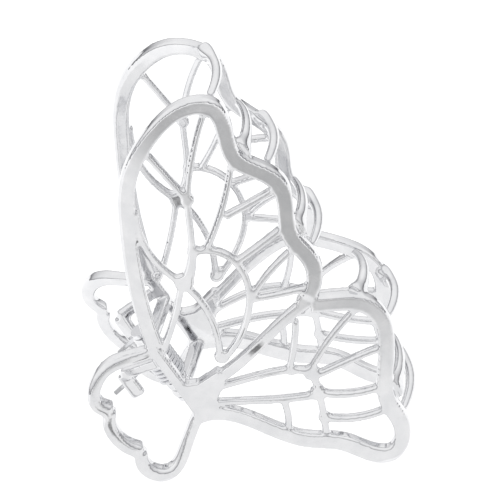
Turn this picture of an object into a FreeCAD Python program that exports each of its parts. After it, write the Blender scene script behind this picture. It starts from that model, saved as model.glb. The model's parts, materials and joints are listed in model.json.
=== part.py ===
"""Butterfly claw clip: two openwork cast jaws on one hinge pin, closed by a torsion spring.

Design frame (mm): x runs along the pin towards the hindwings, y runs across the clip from the
front jaw to the back jaw, z runs from the pin towards the teeth. The finished clip stands on the
lower lobe of its handles and of its hindwings, as it does on a table, so every sub-part is placed
with the same tilt about y. The origin of the finished clip is the middle of its footprint.
"""
import FreeCAD
import Part
import math
import os

from FreeCAD import Vector

os.makedirs("parts", exist_ok=True)
doc = FreeCAD.newDocument("butterfly_claw")

# ---------------------------------------------------------------- driving dimensions
sheet = doc.addObject("Spreadsheet::Sheet", "dims")
DIMENSIONS = [
    ("rim_width", 3.1),
    ("rim_thickness", 2.2),
    ("vein_width", 1.25),
    ("vein_thickness", 1.6),
    ("divider_width", 2.3),
    ("handle_width", 2.2),
    ("handle_thickness", 2.4),
    ("bar_height", 2.2),
    ("bar_thickness", 2.4),
    ("bar_left", -13.2),
    ("bar_right", 6.0),
    ("bar_level", 4.0),
    ("bar_offset", 12.4),
    ("pin_radius", 1.1),
    ("bore_clearance", 0.05),
    ("head_radius", 2.0),
    ("head_length", 0.9),
    ("ear_radius", 2.2),
    ("ear_width", 1.8),
    ("ear_gap", 0.1),
    ("coil_length", 8.0),
    ("coil_radius", 2.6),
    ("wire_radius", 0.45),
    ("coil_turns", 7.5),
    ("seat_length", 5.9),
    ("seat_height", 2.7),
    ("seat_thickness", 1.2),
    ("seat_middle", -6.45),
    ("seat_level", -4.85),
    ("seat_offset", 9.2),
    ("neck_width", 2.2),
    ("neck_thickness", 1.4),
    ("leg_clearance", 0.25),
    ("tooth_radius", 1.0),
    ("tooth_rise", 2.6),
    ("tooth_tip_gap", 0.5),
    ("blank_length", 100.0),
    ("hinge_middle", -1.8),
]
for row, (name, value) in enumerate(DIMENSIONS, start=1):
    sheet.set("A%d" % row, name)
    sheet.set("B%d" % row, str(value))
    sheet.setAlias("B%d" % row, name)

# Where the finished clip stands; filled in once its shapes are known.
stance = doc.addObject("Spreadsheet::Sheet", "stance")
for row, name in enumerate(("tilt", "shift_x", "shift_z"), start=1):
    stance.set("A%d" % row, name)
    stance.set("B%d" % row, "0.0")
    stance.setAlias("B%d" % row, name)
doc.recompute()


def dim(name):
    """Value of one driving dimension."""
    return float(sheet.get(name))


# ---------------------------------------------------------------- shape of one jaw
# Side view of a jaw: distance from the middle plane (y) at each level (z).
SIDE_PROFILE = [(-16.0, 19.6), (-6.0, 15.9), (4.0, 12.4), (12.0, 13.6), (20.0, 14.6),
                (28.0, 13.6), (36.0, 11.1), (47.0, 6.8)]

# Outer edge of the wings, x and z, from the hinge up the leading edge and round to the notch.
FOREWING_EDGE = [(-13.6, 3.4), (-26.6, 7.4), (-40.8, 13.8), (-52.1, 21.3), (-56.9, 29.4),
                 (-57.4, 37.4), (-52.6, 42.6), (-46.4, 41.9), (-41.0, 40.6), (-35.6, 42.6),
                 (-30.1, 44.1), (-25.0, 42.6), (-19.6, 40.3), (-13.6, 40.6), (-9.0, 39.4),
                 (-5.7, 35.5)]
HINDWING_EDGE = [(-5.7, 35.5), (-2.4, 39.7), (1.8, 43.4), (7.0, 44.4), (12.0, 42.8),
                 (17.4, 39.2), (22.0, 36.7), (26.8, 36.3), (31.8, 34.0), (33.2, 30.6),
                 (29.9, 26.2), (24.4, 22.8), (20.8, 18.2), (15.0, 13.2), (9.6, 9.2),
                 (6.2, 3.4)]

# Veins: centre line through two or three points, x and z.
FOREWING_VEINS = {
    "tip_front": [(-52.6, 26.8), (-39.4, 27.8)],
    "tip_middle": [(-52.6, 39.6), (-45.8, 32.6), (-39.4, 27.8), (-29.1, 22.4), (-24.2, 17.4)],
    "tip_rear": [(-41.0, 38.9), (-34.6, 33.2), (-28.3, 25.4)],
    "front_lower": [(-43.2, 18.2), (-33.4, 15.4), (-24.0, 17.2)],
    "cell_front": [(-28.9, 22.6), (-25.6, 20.4), (-22.8, 18.0)],
    "cell_top": [(-29.1, 22.8), (-26.9, 26.0), (-21.8, 28.2)],
    "cell_rear": [(-21.8, 28.2), (-14.6, 26.6), (-8.6, 21.6), (-4.6, 14.6)],
    "cell_strut": [(-24.4, 17.2), (-15.7, 17.9), (-5.2, 14.2)],
    "front_strut": [(-24.6, 17.4), (-17.9, 11.9), (-11.4, 5.2)],
    "fan_one": [(-31.6, 31.6), (-29.8, 41.4)],
    "fan_two": [(-22.0, 28.2), (-22.0, 38.9)],
    "fan_three": [(-13.5, 26.2), (-16.0, 32.2), (-16.8, 38.2)],
    "fan_four": [(-13.5, 26.2), (-10.8, 31.2), (-8.2, 36.0)],
}
FOREWING_JOINTS = [(-39.4, 27.8, 1.3), (-29.1, 22.8, 1.2), (-24.0, 17.6, 1.9), (-5.2, 14.6, 1.4),
                   (-6.4, 34.2, 1.7)]
DIVIDER = [(-0.4, 8.0), (-1.6, 14.0), (-3.9, 22.0), (-5.8, 34.8)]
HINDWING_VEINS = {
    "upper": [(0.6, 7.6), (1.8, 16.7), (4.4, 24.1), (7.2, 27.2)],
    "upper_strut": [(4.2, 24.0), (0.8, 27.2), (-4.0, 30.6)],
    "hook_one": [(7.0, 27.0), (3.8, 33.6), (2.0, 41.6)],
    "hook_two": [(8.6, 27.6), (9.9, 33.2), (12.2, 40.0)],
    "spine": [(7.0, 27.2), (11.6, 26.2), (17.2, 24.0), (23.6, 21.4)],
    "band_one": [(12.0, 26.0), (16.1, 30.5), (19.4, 37.0)],
    "band_two": [(17.2, 24.0), (20.6, 27.8), (24.0, 35.6)],
    "lower": [(3.4, 5.4), (7.4, 15.6), (10.3, 21.6), (12.4, 25.8)],
    "lower_strut": [(9.4, 19.6), (13.6, 18.2), (17.6, 15.4)],
}
HINDWING_JOINTS = [(7.4, 27.2, 1.5), (11.8, 25.8, 1.5), (17.2, 24.0, 1.1), (4.6, 24.4, 1.0)]
ROOT_PLATE = [(-3.4, 3.2), (-1.9, 7.4), (-3.0, 12.6), (0.6, 11.4), (3.4, 8.4), (6.4, 7.0),
              (6.4, 3.2)]

# Handle: centre line of the three lobes with a cusp between them.
HANDLE_LOBES = [
    [(-12.6, 3.4), (-14.3, -1.0), (-15.6, -5.2), (-13.6, -9.2), (-8.0, -8.6)],
    [(-8.0, -8.6), (-6.4, -10.2), (-3.0, -10.8), (0.6, -10.1), (3.2, -8.6)],
    [(3.2, -8.6), (7.4, -9.7), (10.9, -6.8), (8.8, -1.9), (5.0, 3.4)],
]

# Teeth: place along the pin and level of the rim under the root.
FRONT_TEETH = [(-41.0, 40.0), (-20.0, 39.7), (0.4, 41.2), (21.0, 36.6)]
BACK_TEETH = [(-53.6, 41.0), (-34.4, 42.2), (-14.0, 39.8), (8.6, 43.2), (27.2, 35.4)]

FRONT = -1
BACK = 1


def spline(points, plane="xz"):
    """Smooth curve through points of the x-z plane (y = 0) or the y-z plane (x = 0)."""
    if plane == "xz":
        places = [Vector(a, 0, b) for a, b in points]
    else:
        places = [Vector(0, b, a) for a, b in points]
    curve = Part.BSplineCurve()
    curve.interpolate(places)
    return curve


def sideways(curve, normal, distance, samples):
    """Curve at a constant distance from another one, measured across it."""
    first, last = curve.FirstParameter, curve.LastParameter
    places = []
    for index in range(samples + 1):
        at = first + (last - first) * index / samples
        along = curve.tangent(at)[0]
        across = along.cross(normal).normalize()
        places.append(curve.value(at) + across * distance)
    moved = Part.BSplineCurve()
    moved.interpolate(places)
    return moved


def band(centre, normal, left, right, samples=12):
    """Flat strip that follows a curve, from left to right of it."""
    one = sideways(centre, normal, left, samples)
    two = sideways(centre, normal, right, samples)
    start = Part.LineSegment(one.StartPoint, two.StartPoint)
    end = Part.LineSegment(one.EndPoint, two.EndPoint)
    wire = Part.Wire(Part.__sortEdges__([c.toShape() for c in (one, end, two, start)]))
    return Part.Face(wire)


ALONG_Y = Vector(0, 1, 0)
ALONG_X = Vector(1, 0, 0)


def vein(points, width):
    """Strip of a vein, drawn a little past both ends so that it joins its neighbours."""
    return band(spline(points), ALONG_Y, -width / 2, width / 2)


def disc(x, z, radius):
    circle = Part.Circle(Vector(x, 0, z), ALONG_Y, radius)
    return Part.Face(Part.Wire(circle.toShape()))


def polygon(points):
    places = [Vector(x, 0, z) for x, z in points]
    return Part.Face(Part.makePolygon(places + places[:1]))


def facing(face):
    """The same flat face with its normal towards +y."""
    if face.normalAt(0, 0).y < 0:
        face.reverse()
    return face


def joined(faces):
    """One flat region from overlapping flat faces."""
    faces = [facing(face) for face in faces]
    return faces[0].multiFuse(faces[1:]).removeSplitter()


def flat(name, region):
    """Flat region kept as an object of the document."""
    feature = doc.addObject("Part::Feature", name)
    feature.Shape = region
    return feature


def shell(name, thickness_name):
    """Bowed plate of constant thickness that one kind of jaw detail is cut from."""
    half = dim(thickness_name) / 2
    side = spline(SIDE_PROFILE, "yz")
    section = flat(name + "_section", band(side, ALONG_X, -half, half, 24))
    blank = doc.addObject("Part::Extrusion", name)
    blank.Base = section
    blank.DirMode = "Custom"
    blank.Dir = ALONG_X
    blank.Solid = True
    blank.Symmetric = True
    blank.setExpression("LengthFwd", "dims.blank_length * 1.4")
    return blank


def cut_from(name, region, blank):
    """Part of a bowed plate under a flat region."""
    pattern = doc.addObject("Part::Extrusion", name + "_pattern")
    pattern.Base = flat(name + "_flat", region)
    pattern.DirMode = "Custom"
    pattern.Dir = ALONG_Y
    pattern.Solid = True
    pattern.setExpression("LengthFwd", "dims.blank_length / 3")
    piece = doc.addObject("Part::Common", name)
    piece.Base = blank
    piece.Tool = pattern
    return piece


def fuse(name, pieces):
    result = doc.addObject("Part::MultiFuse", name)
    result.Shapes = pieces
    result.Refine = True
    return result


def cut(name, base, tool):
    result = doc.addObject("Part::Cut", name)
    result.Base = base
    result.Tool = tool
    return result


# ---------------------------------------------------------------- one jaw, drawn on the back side
def edge_band(points):
    """Rim strip along an edge line, with an eighth of its width outside the line."""
    width = dim("rim_width")
    return band(spline(points), ALONG_Y, -RIM_SIDE * width / 8, RIM_SIDE * width * 7 / 8, 40)


RIM_SIDE = -1.0
SIDE_CURVE = spline(SIDE_PROFILE, "yz")


def reach(level):
    """Distance of the jaw's middle surface from the middle plane at a level."""
    line = Part.LineSegment(Vector(0, 0, level), Vector(0, 60, level))
    return SIDE_CURVE.intersect(line)[0].Y


def bowed_blanks():
    return {
        "rim": shell("rim_blank", "rim_thickness"),
        "vein": shell("vein_blank", "vein_thickness"),
        "bar": shell("bar_blank", "bar_thickness"),
        "handle": shell("handle_blank", "handle_thickness"),
    }


def bar_region():
    low = dim("bar_level") - dim("bar_height") / 2
    high = dim("bar_level") + dim("bar_height") / 2
    left, right = dim("bar_left"), dim("bar_right")
    strip = polygon([(left, low), (right, low), (right, high), (left, high)])
    return joined([strip, polygon(ROOT_PLATE)])


def forewing_regions():
    width = dim("vein_width")
    veins = [vein(points, width) for points in FOREWING_VEINS.values()]
    veins += [disc(*joint) for joint in FOREWING_JOINTS]
    divider = band(spline(DIVIDER), ALONG_Y, -dim("divider_width") / 2, dim("divider_width") / 2)
    return edge_band(FOREWING_EDGE), joined(veins + [divider])


def hindwing_regions():
    width = dim("vein_width")
    veins = [vein(points, width) for points in HINDWING_VEINS.values()]
    veins += [disc(*joint) for joint in HINDWING_JOINTS]
    return edge_band(HINDWING_EDGE), joined(veins)


def handle_region():
    half = dim("handle_width") / 2
    return joined([band(spline(lobe), ALONG_Y, -half, half, 20) for lobe in HANDLE_LOBES])


def castings():
    """Raw openwork of the back jaw: bar, forewing, hindwing and handle."""
    blanks = bowed_blanks()
    fore_rim, fore_veins = forewing_regions()
    hind_rim, hind_veins = hindwing_regions()
    bar = cut_from("bar_raw", bar_region(), blanks["bar"])
    forewing = fuse("forewing_raw", [
        cut_from("forewing_rim", fore_rim, blanks["rim"]),
        cut_from("forewing_veins", fore_veins, blanks["vein"]),
    ])
    hindwing = fuse("hindwing_raw", [
        cut_from("hindwing_rim", hind_rim, blanks["rim"]),
        cut_from("hindwing_veins", hind_veins, blanks["vein"]),
    ])
    handle = cut_from("handle_raw", handle_region(), blanks["handle"])
    forewing = cut("forewing_trimmed", forewing, bar)
    hindwing = cut("hindwing_trimmed", cut("hindwing_clear", hindwing, bar), forewing)
    handle = cut("handle_trimmed", handle, bar)
    return {"bar": bar, "forewing": forewing, "hindwing": hindwing, "handle": handle}


def mirrored(name, source):
    """Copy of a back jaw piece on the front side."""
    copy = doc.addObject("Part::Mirroring", name)
    copy.Source = source
    copy.Normal = ALONG_Y
    return copy


def finished(name, source):
    """Sub-part that can be placed without moving the piece it was made from."""
    piece = doc.addObject("Part::Refine", name)
    piece.Source = source
    return piece


# ---------------------------------------------------------------- hinge
def hinge_places():
    """Left face of every ear, and the two ends of the coil, along the pin."""
    coil = dim("coil_length") / 2
    width, gap = dim("ear_width"), dim("ear_gap")
    left = dim("hinge_middle") - coil - 2 * gap
    right = dim("hinge_middle") + coil + 2 * gap
    return {
        "back_left": left - width,
        "front_left": left - 2 * width - gap,
        "front_right": right,
        "back_right": right + width + gap,
    }


PLACES = hinge_places()


def ear(name, left, side):
    """Arm from the bar to the pin, with an eye round the bore."""
    lean = math.degrees(math.atan2(dim("bar_level"), dim("bar_offset")))
    turn = lean if side == BACK else 180 - lean
    arm = doc.addObject("Part::Box", name + "_arm")
    arm.setExpression("Length", "dims.ear_width")
    arm.setExpression("Width", "sqrt(dims.bar_offset ^ 2 + dims.bar_level ^ 2)")
    arm.setExpression("Height", "dims.ear_radius * 1.2")
    rotation = FreeCAD.Rotation(ALONG_X, turn)
    drop = rotation.multVec(Vector(0, 0, -dim("ear_radius") * 0.6))
    arm.Placement = FreeCAD.Placement(Vector(left, 0, 0) + drop, rotation)
    eye = doc.addObject("Part::Cylinder", name + "_eye")
    eye.setExpression("Radius", "dims.ear_radius")
    eye.setExpression("Height", "dims.ear_width")
    eye.Placement = FreeCAD.Placement(Vector(left, 0, 0), FreeCAD.Rotation(ALONG_Y, 90))
    return fuse(name, [arm, eye])


def bore(name):
    hole = doc.addObject("Part::Cylinder", name)
    hole.setExpression("Radius", "dims.pin_radius + dims.bore_clearance")
    hole.setExpression("Height", "dims.blank_length / 2")
    start = Vector(-dim("blank_length") / 4, 0, 0)
    hole.Placement = FreeCAD.Placement(start, FreeCAD.Rotation(ALONG_Y, 90))
    return hole


def spring_seat(name, side):
    """Tab that hangs below the bar on a slanting neck; a spring leg bears on its inner face."""
    outer = dim("seat_offset") + dim("seat_thickness")
    left = dim("seat_middle") - dim("seat_length") / 2
    tab = doc.addObject("Part::Box", name + "_tab")
    tab.setExpression("Length", "dims.seat_length")
    tab.setExpression("Width", "dims.seat_thickness")
    tab.setExpression("Height", "dims.seat_height")
    face = dim("seat_offset") if side == BACK else -outer
    low = dim("seat_level") - dim("seat_height") / 2
    tab.Placement = FreeCAD.Placement(Vector(left, face, low), FreeCAD.Rotation())
    foot = Vector(0, outer - dim("seat_thickness") / 2, dim("seat_level"))
    rise = Vector(0, dim("bar_offset"), dim("bar_level")) - foot
    lean = math.degrees(math.atan2(rise.z, rise.y))
    turn = FreeCAD.Rotation(ALONG_X, lean if side == BACK else 180 - lean)
    neck = doc.addObject("Part::Box", name + "_neck")
    neck.setExpression("Length", "dims.neck_width")
    neck.Width = rise.Length
    neck.setExpression("Height", "dims.neck_thickness")
    start = Vector(left - dim("neck_width") / 2, side * foot.y, foot.z)
    drop = turn.multVec(Vector(0, 0, -dim("neck_thickness") / 2))
    neck.Placement = FreeCAD.Placement(start + drop, turn)
    return fuse(name, [tab, neck])


def bar_body(bar, side):
    """Bar across the root of a jaw with its two ears and its spring seat, before the bore."""
    word = "front" if side == FRONT else "back"
    extras = [
        ear(word + "_ear_left", PLACES[word + "_left"], side),
        ear(word + "_ear_right", PLACES[word + "_right"], side),
        spring_seat(word + "_spring_seat", side),
    ]
    return fuse(word + "_bar_and_ears", [bar] + extras)


def hinge_pin():
    """Pin with a head formed at each end."""
    left = PLACES["front_left"] - dim("ear_gap")
    right = PLACES["back_right"] + dim("ear_width") + dim("ear_gap")
    across = FreeCAD.Rotation(ALONG_Y, 90)
    shank = doc.addObject("Part::Cylinder", "pin_shank")
    shank.setExpression("Radius", "dims.pin_radius")
    shank.Height = right - left
    shank.Placement = FreeCAD.Placement(Vector(left, 0, 0), across)
    heads = []
    for word, start in (("left", left - dim("head_length")), ("right", right)):
        head = doc.addObject("Part::Cylinder", "pin_head_" + word)
        head.setExpression("Radius", "dims.head_radius")
        head.setExpression("Height", "dims.head_length")
        head.Placement = FreeCAD.Placement(Vector(start, 0, 0), across)
        heads.append(head)
    return fuse("hinge_pin", [shank] + heads)


def coil_body(start):
    """Closely wound wire; it begins on the front side of the pin and ends on the back side."""
    radius, wire = dim("coil_radius"), dim("wire_radius")
    run = dim("coil_length") - 2 * wire
    line = Part.makeHelix(run / dim("coil_turns"), run, radius)
    section = Part.Wire(Part.Circle(Vector(radius, 0, 0), ALONG_Y, wire).toShape())
    body = flat("coil_body", Part.Wire(line.Edges).makePipeShell([section], True, True))
    turn = FreeCAD.Rotation(Vector(0, -1, 0), Vector(0, 0, -1), Vector(1, 0, 0), "XYZ")
    body.Placement = FreeCAD.Placement(Vector(start, 0, 0), turn)
    return body


def torsion_spring():
    """Coil round the pin; each leg crosses to the spring seat of its jaw and ends below it."""
    start = dim("hinge_middle") - dim("coil_length") / 2 + dim("wire_radius")
    end = dim("hinge_middle") + dim("coil_length") / 2 - dim("wire_radius")
    left = dim("seat_middle") - dim("wire_radius")
    right = dim("seat_middle") + dim("seat_length") / 3
    legs = [spring_leg("front_leg", start, left, FRONT), spring_leg("back_leg", end, right, BACK)]
    return fuse("torsion_spring", [coil_body(start)] + legs)


def spring_leg(name, x, seat_x, side):
    """End of the wire, from the coil to the inner face of a spring seat, then bent down past it."""
    face = side * (dim("seat_offset") - dim("wire_radius") - dim("leg_clearance"))
    level = dim("seat_level")
    points = [
        Vector(x, side * dim("coil_radius"), 0),
        Vector(seat_x, face, level + dim("seat_height") / 3),
        Vector(seat_x + dim("wire_radius") * 3, face, level - dim("seat_height") * 1.5),
    ]
    pieces = []
    for number, (begin, end) in enumerate(zip(points, points[1:])):
        run = doc.addObject("Part::Cylinder", f"{name}_run_{number}")
        run.setExpression("Radius", "dims.wire_radius")
        run.Height = (end - begin).Length
        run.Placement = FreeCAD.Placement(begin, FreeCAD.Rotation(Vector(0, 0, 1), end - begin))
        bend = doc.addObject("Part::Sphere", f"{name}_bend_{number}")
        bend.setExpression("Radius", "dims.wire_radius * 1.15")
        bend.Placement = FreeCAD.Placement(begin, FreeCAD.Rotation())
        pieces += [run, bend]
    return fuse(name + "_wire", pieces)


# ---------------------------------------------------------------- teeth
def tooth(name, x, level, side):
    """Round bar curved from its own rim over the middle plane to the other rim."""
    near = reach(level)
    far = near - dim("rim_thickness") / 2 - dim("tooth_tip_gap") - 0.6 * dim("tooth_radius")
    half = (near + far) / 2
    rise = dim("tooth_rise")
    radius = (half ** 2 + rise ** 2) / (2 * rise)
    angle = math.degrees(math.asin(half / radius))
    arc = doc.addObject("Part::Torus", name)
    arc.Radius1 = radius
    arc.setExpression("Radius2", "dims.tooth_radius")
    arc.Angle3 = 2 * angle
    centre = Vector(x, side * (near - far) / 2, level + rise - radius)
    root = Vector(0, side * math.sin(math.radians(angle)), math.cos(math.radians(angle)))
    axis = Vector(side, 0, 0)
    arc.Placement = FreeCAD.Placement(centre, FreeCAD.Rotation(root, axis.cross(root), axis, "ZXY"))
    return arc


def teeth(name, places, side, wings):
    """All the teeth of one jaw, trimmed where they meet its wings."""
    bars = [tooth("%s_%d" % (name, n), x, z, side) for n, (x, z) in enumerate(places, start=1)]
    row = doc.addObject("Part::Compound", name + "_row")
    row.Links = bars
    return cut(name, row, wings)


# ---------------------------------------------------------------- assembly
def assembly():
    """Every sub-part of the clip, by name, in the design frame."""
    back = castings()
    front = {kind: mirrored(kind + "_mirrored", piece) for kind, piece in back.items()}
    parts = {}
    for word, side, jaw, places in (("front", FRONT, front, FRONT_TEETH),
                                    ("back", BACK, back, BACK_TEETH)):
        wings = fuse(word + "_wings", [jaw["forewing"], jaw["hindwing"]])
        body = bar_body(jaw["bar"], side)
        parts[word + "_hinge_bar"] = cut(word + "_hinge_bar", body, bore(word + "_bore"))
        for kind in ("forewing", "hindwing", "handle"):
            clear = cut(f"{word}_{kind}_clear", jaw[kind], body)
            parts[word + "_" + kind] = finished(word + "_" + kind, clear)
        parts[word + "_teeth"] = teeth(word + "_teeth", places, side, wings)
    parts["hinge_pin"] = hinge_pin()
    parts["torsion_spring"] = torsion_spring()
    return parts


def lowest(curves, tilt):
    """Lowest level of some x-z curves once the clip is tilted."""
    points = [p for curve in curves for p in curve.toShape().discretize(200)]
    return min(p.z * math.cos(tilt) - p.x * math.sin(tilt) for p in points)


def standing_tilt():
    """Tilt at which the lower handle lobe and the hindwing touch the table together."""
    half = dim("handle_width") / 2
    lobe = [sideways(spline(HANDLE_LOBES[2]), ALONG_Y, side * half, 20) for side in (-1, 1)]
    wing = [sideways(spline(HINDWING_EDGE), ALONG_Y, -RIM_SIDE * dim("rim_width") / 8, 40)]
    low, high = math.radians(45), math.radians(75)
    for _ in range(40):
        middle = (low + high) / 2
        if lowest(lobe, middle) > lowest(wing, middle):
            high = middle
        else:
            low = middle
    return math.degrees(middle)


def stand(parts):
    """Places every sub-part for the standing clip, with the origin under its middle."""
    tilt = FreeCAD.Rotation(ALONG_Y, standing_tilt())
    boxes = []
    for piece in parts.values():
        shape = piece.Shape.copy()
        shape.Placement = FreeCAD.Placement(Vector(), tilt)
        boxes.append(shape.optimalBoundingBox(False, False))
    middle = (min(b.XMin for b in boxes) + max(b.XMax for b in boxes)) / 2
    stance.set("tilt", str(math.degrees(tilt.Angle)))
    stance.set("shift_x", str(-middle))
    stance.set("shift_z", str(-min(b.ZMin for b in boxes)))
    for piece in parts.values():
        piece.Placement = FreeCAD.Placement(Vector(), tilt)
        piece.setExpression("Placement.Base.x", "stance.shift_x")
        piece.setExpression("Placement.Base.z", "stance.shift_z")
    doc.recompute()


def write(parts):
    """Writes one STEP file for each sub-part, once the whole document is sound."""
    for item in doc.Objects:
        if "Invalid" in item.State or "Error" in item.State:
            raise RuntimeError("not built: " + item.Name)
    for name, piece in parts.items():
        piece.Label = name
        if piece.Shape.isNull() or not piece.Shape.isValid():
            raise RuntimeError("bad shape: " + name)
        piece.Shape.exportStep("parts/" + name + ".step")
        box = piece.Shape.BoundBox
        print(name, len(piece.Shape.Solids), round(piece.Shape.Volume, 1),
              [round(v, 1) for v in (box.XMin, box.XMax, box.YMin, box.YMax, box.ZMin, box.ZMax)])


parts = assembly()
doc.recompute()
stand(parts)
write(parts)
print("tilt", stance.tilt, "shift", stance.shift_x, stance.shift_z)
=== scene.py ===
"""Butterfly claw clip: two polished openwork castings on a sprung hinge pin."""

import json
import math

import bmesh
import bpy
import numpy as np
from mathutils import Euler, Matrix, Vector


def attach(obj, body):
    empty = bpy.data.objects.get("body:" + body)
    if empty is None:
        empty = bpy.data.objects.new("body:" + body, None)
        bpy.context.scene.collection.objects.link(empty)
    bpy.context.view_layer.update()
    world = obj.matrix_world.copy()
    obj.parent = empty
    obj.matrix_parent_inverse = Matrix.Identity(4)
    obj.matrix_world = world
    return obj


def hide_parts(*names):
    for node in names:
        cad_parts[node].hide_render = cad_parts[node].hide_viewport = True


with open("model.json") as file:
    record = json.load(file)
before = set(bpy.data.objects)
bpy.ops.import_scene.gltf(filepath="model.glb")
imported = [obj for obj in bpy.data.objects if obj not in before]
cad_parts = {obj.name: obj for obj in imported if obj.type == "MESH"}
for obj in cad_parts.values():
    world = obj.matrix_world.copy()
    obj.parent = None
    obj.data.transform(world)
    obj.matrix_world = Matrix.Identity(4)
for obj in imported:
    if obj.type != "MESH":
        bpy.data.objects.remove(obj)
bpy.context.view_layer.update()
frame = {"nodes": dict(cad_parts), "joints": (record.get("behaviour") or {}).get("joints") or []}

MM = 0.001
HINGE = frame["joints"][0]
PIN = Vector(HINGE["pos_m"])
PIN_AXIS = Vector(HINGE["axis"]).normalized()
ACROSS = Vector((0, 1, 0))
OUTWARD = PIN_AXIS.cross(ACROSS)
# Hinge frame: x along the pin, y from the front jaw to the back jaw, z from the pin to the teeth, in mm.
HINGE_TURN = Matrix((PIN_AXIS, ACROSS, OUTWARD)).transposed().to_4x4()
TO_ROW = Matrix.Translation(PIN) @ HINGE_TURN @ Matrix.Scale(MM, 4)
TO_HINGE = TO_ROW.inverted()
SEAM = 0.0005 * MM


def coords(mesh):
    """A mesh's vertices as rows of an array."""
    co = np.zeros(len(mesh.vertices) * 3)
    mesh.vertices.foreach_get("co", co)
    return co.reshape(-1, 3)


def set_coords(mesh, co):
    """Gives a mesh's vertices the places in the rows of an array."""
    mesh.vertices.foreach_set("co", np.ascontiguousarray(co, np.float32).ravel())
    mesh.update()


def moved(matrix, co):
    """The rows of an array, each carried by a 4x4 matrix."""
    m = np.array(matrix)
    return co @ m[:3, :3].T + m[:3, 3]


def new_object(name, verts, faces):
    """A mesh object in the scene."""
    mesh = bpy.data.meshes.new(name)
    mesh.from_pydata([tuple(v) for v in verts], [], faces)
    mesh.update()
    obj = bpy.data.objects.new(name, mesh)
    bpy.context.scene.collection.objects.link(obj)
    return obj


def shaded(mesh):
    """Sets smooth shading on every face."""
    for polygon in mesh.polygons:
        polygon.use_smooth = True


def islands(mesh):
    """The vertex numbers of each separate solid in a mesh."""
    parent = list(range(len(mesh.vertices)))

    def root(i):
        while parent[i] != i:
            parent[i] = parent[parent[i]]
            i = parent[i]
        return i

    for a, b in mesh.edge_keys:
        parent[root(a)] = root(b)
    groups = {}
    for i in range(len(parent)):
        groups.setdefault(root(i), []).append(i)
    return list(groups.values())


def solids(node):
    """Hinge-frame vertices of each solid of a CAD node, with split seams closed."""
    copy = frame["nodes"][node].data.copy()
    bm = bmesh.new()
    bm.from_mesh(copy)
    bmesh.ops.remove_doubles(bm, verts=bm.verts, dist=SEAM)
    bm.to_mesh(copy)
    bm.free()
    co = moved(TO_HINGE, coords(copy))
    found = [co[group] for group in islands(copy)]
    bpy.data.meshes.remove(copy)
    return found


# --- shapes --------------------------------------------------------------------------------------------

TOOTH_RINGS = 28
TOOTH_SIDES = 20
# How much of a tooth is measured at each end and round its middle, and the least rise of its arc, in mm.
END_SLICE = 1.0
MIDDLE_SLICE = 2.5
LEAST_RISE = 0.3
# A tooth's half-width and half-depth at its root, and what they lose by its tip, as shares of the CAD radius.
ROOT_WIDTH, WIDTH_TAPER = 1.42, 0.62
ROOT_DEPTH, DEPTH_TAPER = 1.1, 0.32
# The extra width where a tooth leaves the rim, how fast it dies out, and the share of it added to the depth.
FLARE, FLARE_LENGTH, FLARE_DEPTH = 1.1, 0.14, 0.45
# Where along a tooth its tip begins to close, and how much of its section is left at the very end.
TIP_FROM, TIP_LEFT = 0.955, 0.25
# The power that squares off a tooth's section a little.
SQUARENESS = 0.75


def tooth_arc(co, side):
    """Points along a tooth's centreline from its root to its tip, as an arc through three points."""
    co = co[np.argsort(co[:, 1] * side)]
    y0, y1 = co[0, 1], co[-1, 1]
    ends = []
    for y in (y0, y1):
        near = co[np.abs(co[:, 1] - y) < END_SLICE][:, 1:]
        ends.append((near.min(axis=0) + near.max(axis=0)) / 2)
    middle = co[np.abs(co[:, 1] - (y0 + y1) / 2) < MIDDLE_SLICE]
    x = (co[:, 0].min() + co[:, 0].max()) / 2
    radius = (co[:, 0].max() - co[:, 0].min()) / 2
    apex = np.array([(y0 + y1) / 2, middle[:, 2].max() - radius])
    a, b = ends
    mid = (a + b) / 2
    half = np.linalg.norm(b - a) / 2
    rise = max(apex[1] - mid[1], LEAST_RISE)
    big = (half * half + rise * rise) / (2 * rise)
    centre = mid + np.array([0.0, rise - big])
    start = math.atan2(a[1] - centre[1], a[0] - centre[0])
    stop = math.atan2(b[1] - centre[1], b[0] - centre[0])
    points = []
    for k in range(TOOTH_RINGS):
        turn = start + (stop - start) * k / (TOOTH_RINGS - 1)
        out = np.array([0.0, math.cos(turn), math.sin(turn)])
        points.append((np.array([x, centre[0], centre[1]]) + big * out, out))
    return points, radius


def tooth(co, side):
    """A tapered claw along a tooth's arc: flared where it leaves the rim, blunt and slim at its tip."""
    points, radius = tooth_arc(co, side)
    verts = []
    for k, (centre, out) in enumerate(points):
        t = k / (TOOTH_RINGS - 1)
        flare = FLARE * math.exp(-((t / FLARE_LENGTH) ** 2))
        closing = max(0.0, t - TIP_FROM) / (1 - TIP_FROM)
        blunt = TIP_LEFT + (1 - TIP_LEFT) * math.sqrt(max(0.0, 1 - closing ** 2))
        wide = radius * (ROOT_WIDTH - WIDTH_TAPER * t + flare) * blunt
        deep = radius * (ROOT_DEPTH - DEPTH_TAPER * t + FLARE_DEPTH * flare) * blunt
        for s in range(TOOTH_SIDES):
            a = 2 * math.pi * s / TOOTH_SIDES
            c, d = math.cos(a), math.sin(a)
            c = math.copysign(abs(c) ** SQUARENESS, c)
            d = math.copysign(abs(d) ** SQUARENESS, d)
            verts.append(centre + wide * c * np.array([1.0, 0.0, 0.0]) + deep * d * out)
    faces = []
    n = TOOTH_SIDES
    for k in range(TOOTH_RINGS - 1):
        for s in range(n):
            near, far = k * n, (k + 1) * n
            following = (s + 1) % n
            faces.append((near + s, near + following, far + following, far + s))
    faces.append(tuple(range(n))[::-1])
    faces.append(tuple((TOOTH_RINGS - 1) * n + s for s in range(n)))
    return verts, faces


# The share of the way to its neighbours' mean that a vertex moves in one smoothing step.
STRIDE = 0.6


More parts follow.
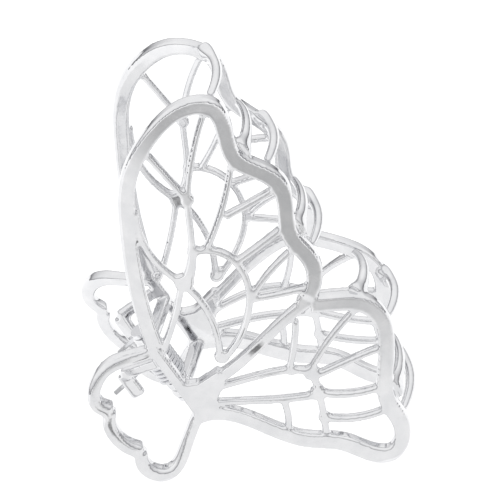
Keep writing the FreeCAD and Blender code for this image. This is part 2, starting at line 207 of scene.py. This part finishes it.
def smoothed(mesh, passes, share, weight=None):
    """Moves each vertex towards its neighbours' mean, then back by a share of that, to round the edges."""
    co = coords(mesh)
    edges = np.zeros(len(mesh.edges) * 2, np.int64)
    mesh.edges.foreach_get("vertices", edges)
    a, b = edges.reshape(-1, 2).T
    count = np.bincount(a, minlength=len(co)) + np.bincount(b, minlength=len(co))
    count = np.maximum(count, 1)[:, None]
    weight = 1.0 if weight is None else weight[:, None]

    def step(co, factor):
        total = np.stack([
            np.bincount(a, co[b, k], len(co)) + np.bincount(b, co[a, k], len(co)) for k in range(3)], axis=1)
        return co + factor * weight * (total / count - co)

    for _ in range(passes):
        co = step(co, STRIDE)
        co = step(co, -STRIDE * share)
    set_coords(mesh, co)


def remeshed(obj, voxel, turn):
    """Replaces an object's mesh by one even skin round all of it, on a grid turned away from its walls."""
    turn = Euler([math.radians(a) for a in turn]).to_matrix().to_4x4()
    obj.data.transform(turn)
    skin = obj.modifiers.new("skin", "REMESH")
    skin.mode = "VOXEL"
    skin.voxel_size = voxel
    skin.adaptivity = 0.0
    old = obj.data
    obj.data = bpy.data.meshes.new_from_object(obj.evaluated_get(bpy.context.evaluated_depsgraph_get()))
    obj.data.transform(turn.inverted())
    obj.modifiers.clear()
    bpy.data.meshes.remove(old)


def inflated(mesh, by):
    """Moves every vertex outwards, by one distance or by a column of them."""
    normals = np.zeros(len(mesh.vertices) * 3)
    mesh.vertices.foreach_get("normal", normals)
    set_coords(mesh, coords(mesh) + by * normals.reshape(-1, 3))


# The two skins that are drawn over a jaw: voxel size, and the turn of the grid in degrees.
FIRST_SKIN = (0.17 * MM, (35, 25, 40))
LAST_SKIN = (0.23 * MM, (20, 40, 65))
# Smoothing passes and the share moved back: after the first skin, on the handle, and after the last skin.
FIRST_SMOOTHING = (24, 0.75)
GRIP_SMOOTHING = (45, 0.5)
LAST_SMOOTHING = (14, 0.8)
# The metal given back after smoothing, everywhere and on the handle as well.
GIVEN_BACK = 0.05
GRIP_GIVEN_BACK = 0.16
# The handle's rounding starts this far along z in the hinge frame, and is full after this length, in mm.
GRIP_START = -0.5
GRIP_BLEND = 2.5


def casting(name, jaw, side):
    """One jaw as a single casting: its bodies fused, with every edge and junction softened."""
    parts = []
    for body in ("hinge_bar", "forewing", "hindwing", "handle"):
        source = frame["nodes"][f"{jaw}_{body}"]
        copy = bpy.data.objects.new("copy", source.data.copy())
        bpy.context.scene.collection.objects.link(copy)
        parts.append(copy)
    for co in solids(f"{jaw}_teeth"):
        verts, faces = tooth(co, side)
        parts.append(new_object("tooth", moved(TO_ROW, np.array(verts)), faces))
    bm = bmesh.new()
    for part in parts:
        bm.from_mesh(part.data)
    bmesh.ops.remove_doubles(bm, verts=bm.verts, dist=SEAM)
    bmesh.ops.recalc_face_normals(bm, faces=bm.faces)
    for part in parts:
        bpy.data.objects.remove(part)
    obj = new_object(name, [], [])
    bm.to_mesh(obj.data)
    bm.free()
    remeshed(obj, *FIRST_SKIN)
    smoothed(obj.data, *FIRST_SMOOTHING)
    along = moved(TO_HINGE, coords(obj.data))[:, 2]
    grip = np.clip((GRIP_START - along) / GRIP_BLEND, 0, 1)
    smoothed(obj.data, *GRIP_SMOOTHING, grip)
    inflated(obj.data, (GIVEN_BACK + GRIP_GIVEN_BACK * grip[:, None]) * MM)
    remeshed(obj, *LAST_SKIN)
    smoothed(obj.data, *LAST_SMOOTHING)
    shaded(obj.data)
    obj.data.name = name
    return obj


# --- materials -----------------------------------------------------------------------------------------


def node(tree, kind, inputs=None, **settings):
    """A shader node, with each input linked to a socket or set to a value."""
    n = tree.nodes.new(kind)
    for key, value in settings.items():
        setattr(n, key, value)
    for key, value in (inputs or {}).items():
        if hasattr(value, "is_output"):
            tree.links.new(value, n.inputs[key])
        else:
            n.inputs[key].default_value = value
    return n


def metal(name, light, dark, smooth, rough, wave, scratch):
    """Polished metal, with fine wiping marks over slow waves.

    Its tone clouds between light and dark, and its roughness varies from smooth to rough.
    """
    mat = bpy.data.materials.new(name)
    mat.use_nodes = True
    tree = mat.node_tree
    tree.nodes.clear()
    out = node(tree, "ShaderNodeOutputMaterial")
    place = node(tree, "ShaderNodeTexCoord").outputs["Object"]
    cloud = node(tree, "ShaderNodeTexNoise", {
        "Vector": place, "Scale": 260.0, "Detail": 4.0, "Roughness": 0.55})
    grain = node(tree, "ShaderNodeTexNoise", {
        "Vector": place, "Scale": 2600.0, "Detail": 3.0, "Roughness": 0.6})
    stretch = node(tree, "ShaderNodeMapping", {"Vector": place, "Scale": (900.0, 5200.0, 900.0)})
    marks = node(tree, "ShaderNodeTexNoise", {"Vector": stretch.outputs[0], "Scale": 1.0, "Detail": 2.0})
    tone = node(tree, "ShaderNodeMapRange", {"Value": cloud.outputs[0], "From Min": 0.3, "From Max": 0.7})
    colour = node(tree, "ShaderNodeMix", {"Factor": tone.outputs[0]}, data_type="RGBA")
    colour.inputs["A"].default_value = (*dark, 1)
    colour.inputs["B"].default_value = (*light, 1)
    both = node(tree, "ShaderNodeMath", {0: marks.outputs[0], 1: grain.outputs[0]}, operation="MULTIPLY")
    spread = node(tree, "ShaderNodeMapRange", {
        "Value": both.outputs[0], "From Min": 0.12, "From Max": 0.42, "To Min": smooth, "To Max": rough})
    slow = node(tree, "ShaderNodeBump", {"Height": cloud.outputs[0], "Strength": wave, "Distance": 0.0004})
    fine = node(tree, "ShaderNodeBump", {
        "Height": marks.outputs[0], "Strength": scratch, "Distance": 0.00002, "Normal": slow.outputs[0]})
    shader = node(tree, "ShaderNodeBsdfPrincipled", {
        "Base Color": colour.outputs["Result"], "Metallic": 1.0, "Roughness": spread.outputs[0],
        "Normal": fine.outputs[0]})
    tree.links.new(shader.outputs[0], out.inputs[0])
    return mat


def matte(name, colour, glow):
    """White paper with a faint tooth, lit a little from within so that it stays pale."""
    mat = bpy.data.materials.new(name)
    mat.use_nodes = True
    tree = mat.node_tree
    shader = tree.nodes["Principled BSDF"]
    place = node(tree, "ShaderNodeTexCoord").outputs["Object"]
    paper = node(tree, "ShaderNodeTexNoise", {"Vector": place, "Scale": 400.0, "Detail": 5.0})
    bump = node(tree, "ShaderNodeBump", {"Height": paper.outputs[0], "Strength": 0.03, "Distance": 0.0003})
    tree.links.new(bump.outputs[0], shader.inputs["Normal"])
    shader.inputs["Base Color"].default_value = (*colour, 1)
    shader.inputs["Emission Color"].default_value = (1, 1, 1, 1)
    shader.inputs["Emission Strength"].default_value = glow
    shader.inputs["Roughness"].default_value = 0.85
    shader.inputs["Specular IOR Level"].default_value = 0.2
    return mat


CHROME = metal("polished_plating", (0.78, 0.78, 0.79), (0.69, 0.695, 0.71), 0.07, 0.15, 0.03, 0.12)
PIN_METAL = metal("turned_pin", (0.80, 0.80, 0.82), (0.70, 0.71, 0.73), 0.10, 0.22, 0.02, 0.3)
WIRE_METAL = metal("drawn_spring_wire", (0.72, 0.72, 0.74), (0.58, 0.59, 0.61), 0.16, 0.32, 0.02, 0.5)


def dressed(obj, mat):
    """Gives an object one material."""
    obj.data.materials.clear()
    obj.data.materials.append(mat)


# --- the clip ------------------------------------------------------------------------------------------

PIECES = ("hinge_bar", "forewing", "hindwing", "handle", "teeth")
for jaw, side in (("front", 1), ("back", -1)):
    piece = casting(f"{jaw}_jaw_casting", jaw, side)
    dressed(piece, CHROME)
    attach(piece, f"{jaw}_jaw")
    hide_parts(*[f"{jaw}_{p}" for p in PIECES])

# Where the spring's front leg leaves its coil, along y in mm.
LEG_CUT = -3.35


def spring_piece(name, keep_front):
    """The spring's coil with its back leg, or the front leg that turns with the front jaw."""
    obj = bpy.data.objects.new(name, frame["nodes"]["torsion_spring"].data.copy())
    bpy.context.scene.collection.objects.link(obj)
    bm = bmesh.new()
    bm.from_mesh(obj.data)
    bmesh.ops.remove_doubles(bm, verts=bm.verts, dist=SEAM)
    cut = bmesh.ops.bisect_plane(
        bm, geom=bm.verts[:] + bm.edges[:] + bm.faces[:], plane_co=(0, LEG_CUT * MM, 0),
        plane_no=(0, 1, 0), clear_outer=keep_front, clear_inner=not keep_front)
    rim = [e for e in cut["geom_cut"] if isinstance(e, bmesh.types.BMEdge)]
    bmesh.ops.holes_fill(bm, edges=rim)
    bm.to_mesh(obj.data)
    bm.free()
    shaded(obj.data)
    dressed(obj, WIRE_METAL)
    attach(obj, "front_jaw" if keep_front else "back_jaw")
    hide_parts("torsion_spring")


spring_piece("spring_coil", False)
spring_piece("spring_front_leg", True)
dressed(frame["nodes"]["hinge_pin"], PIN_METAL)

# --- stage ---------------------------------------------------------------------------------------------

# The camera's direction and its upright, in the hinge frame.
VIEW_FROM = Vector((-0.490, -0.829, 0.268))
VIEW_UP = Vector((-0.699, 0.558, 0.448))
# The width of the view, its middle's place right of the pin and above it, and its distance, in metres.
VIEW_WIDTH = 0.09615
AIM_RIGHT = 0.01567
AIM_UP = 0.02269
VIEW_DISTANCE = 0.6
FLOOR_HALF = 1.2


def flat(name, half_x, half_y):
    """A level rectangle about its own middle."""
    corners = [(-half_x, -half_y, 0), (half_x, -half_y, 0), (half_x, half_y, 0), (-half_x, half_y, 0)]
    return new_object(name, corners, [(0, 1, 2, 3)])


floor = flat("floor", FLOOR_HALF, FLOOR_HALF)
dressed(floor, matte("white_paper", (0.35, 0.35, 0.35), 0.82))

turn = TO_ROW.to_3x3().normalized()
towards = (turn @ VIEW_FROM).normalized()
right = (turn @ VIEW_UP).cross(towards).normalized()
up = towards.cross(right)
aim = PIN + right * AIM_RIGHT + up * AIM_UP
camera_data = bpy.data.cameras.new("camera")
camera_data.type = "ORTHO"
camera_data.ortho_scale = VIEW_WIDTH
camera_data.clip_start = 0.01
camera = bpy.data.objects.new("camera", camera_data)
camera.location = aim + towards * VIEW_DISTANCE
camera.rotation_euler = Matrix((right, up, towards)).transposed().to_euler()
bpy.context.scene.collection.objects.link(camera)
bpy.context.scene.camera = camera


# The height that the softbox points at.
CLIP_MIDDLE = 0.04


def softbox(name, place, size, power):
    """A large soft lamp that lights the floor. The metal mirrors the sky, but not the lamp."""
    data = bpy.data.lights.new(name, "AREA")
    data.shape = "RECTANGLE"
    data.size, data.size_y = size
    data.energy = power
    obj = bpy.data.objects.new(name, data)
    obj.location = place
    obj.rotation_euler = (Vector((0, 0, CLIP_MIDDLE)) - Vector(place)).to_track_quat("-Z", "Y").to_euler()
    obj.visible_glossy = False
    bpy.context.scene.collection.objects.link(obj)


def painted_reflection_card(name, centre, size, grey, rim, core):
    """A painted reflection: a glowing sheet on the floor that only the metal mirrors, unseen by the camera,
    by diffuse bounces and by shadows.

    It is grey in its middle, out to the share core of its half-size, and fades to the tone rim at its edge.
    """
    w, d = size
    obj = flat(name, w, d)
    obj.location = centre
    mat = bpy.data.materials.new(name)
    mat.use_nodes = True
    tree = mat.node_tree
    tree.nodes.clear()
    place = node(tree, "ShaderNodeTexCoord").outputs["Object"]
    unit = node(tree, "ShaderNodeMapping", {"Vector": place, "Scale": (1 / w, 1 / d, 1.0)}).outputs[0]
    away = node(tree, "ShaderNodeVectorMath", {0: unit}, operation="LENGTH").outputs["Value"]
    tone = node(tree, "ShaderNodeMapRange", {
        "Value": away, "From Min": core, "From Max": 1.0, "To Min": grey, "To Max": rim},
        interpolation_type="SMOOTHSTEP").outputs[0]
    shade = node(tree, "ShaderNodeCombineColor", {0: tone, 1: tone, 2: tone}).outputs[0]
    glow = node(tree, "ShaderNodeEmission", {"Color": shade, "Strength": 1.0})
    tree.links.new(glow.outputs[0], node(tree, "ShaderNodeOutputMaterial").inputs[0])
    dressed(obj, mat)
    obj.visible_camera = False
    obj.visible_diffuse = False
    obj.visible_shadow = False


softbox("top_softbox", (0.0, 0.0, 0.9), (1.2, 1.2), 2.0)
# Painted reflections: the far sheet lays a broad grey band into the metal's reflections, and the near one is
# a small dark patch of painted shade that the handle's bevels mirror as a dark streak.
painted_reflection_card("far_painted_reflection", (0.150, -0.215, 0.0006), (0.200, 0.200), 0.58, 1.06, 0.20)
painted_reflection_card("near_painted_shade_reflection", (0.004, -0.062, 0.0008), (0.011, 0.012), 0.22, 1.06, 0.45)

world = bpy.data.worlds.new("studio")
bpy.context.scene.world = world
world.use_nodes = True
tree = world.node_tree
tree.nodes.clear()
sky = node(tree, "ShaderNodeTexCoord").outputs["Generated"]
height = node(tree, "ShaderNodeSeparateXYZ", {0: sky}).outputs["Z"]
ramp = node(tree, "ShaderNodeValToRGB", {0: height})
horizon, overhead = ramp.color_ramp.elements
horizon.position = 0.0
horizon.color = (0.16, 0.16, 0.17, 1)
overhead.position = 0.55
overhead.color = (1.0, 1.0, 1.0, 1)
low_sky = ramp.color_ramp.elements.new(0.16)
low_sky.color = (0.66, 0.66, 0.67, 1)
glow = node(tree, "ShaderNodeBackground", {"Color": ramp.outputs[0], "Strength": 1.1})
tree.links.new(glow.outputs[0], node(tree, "ShaderNodeOutputWorld").inputs[0])

bpy.context.scene.view_settings.view_transform = "Standard"
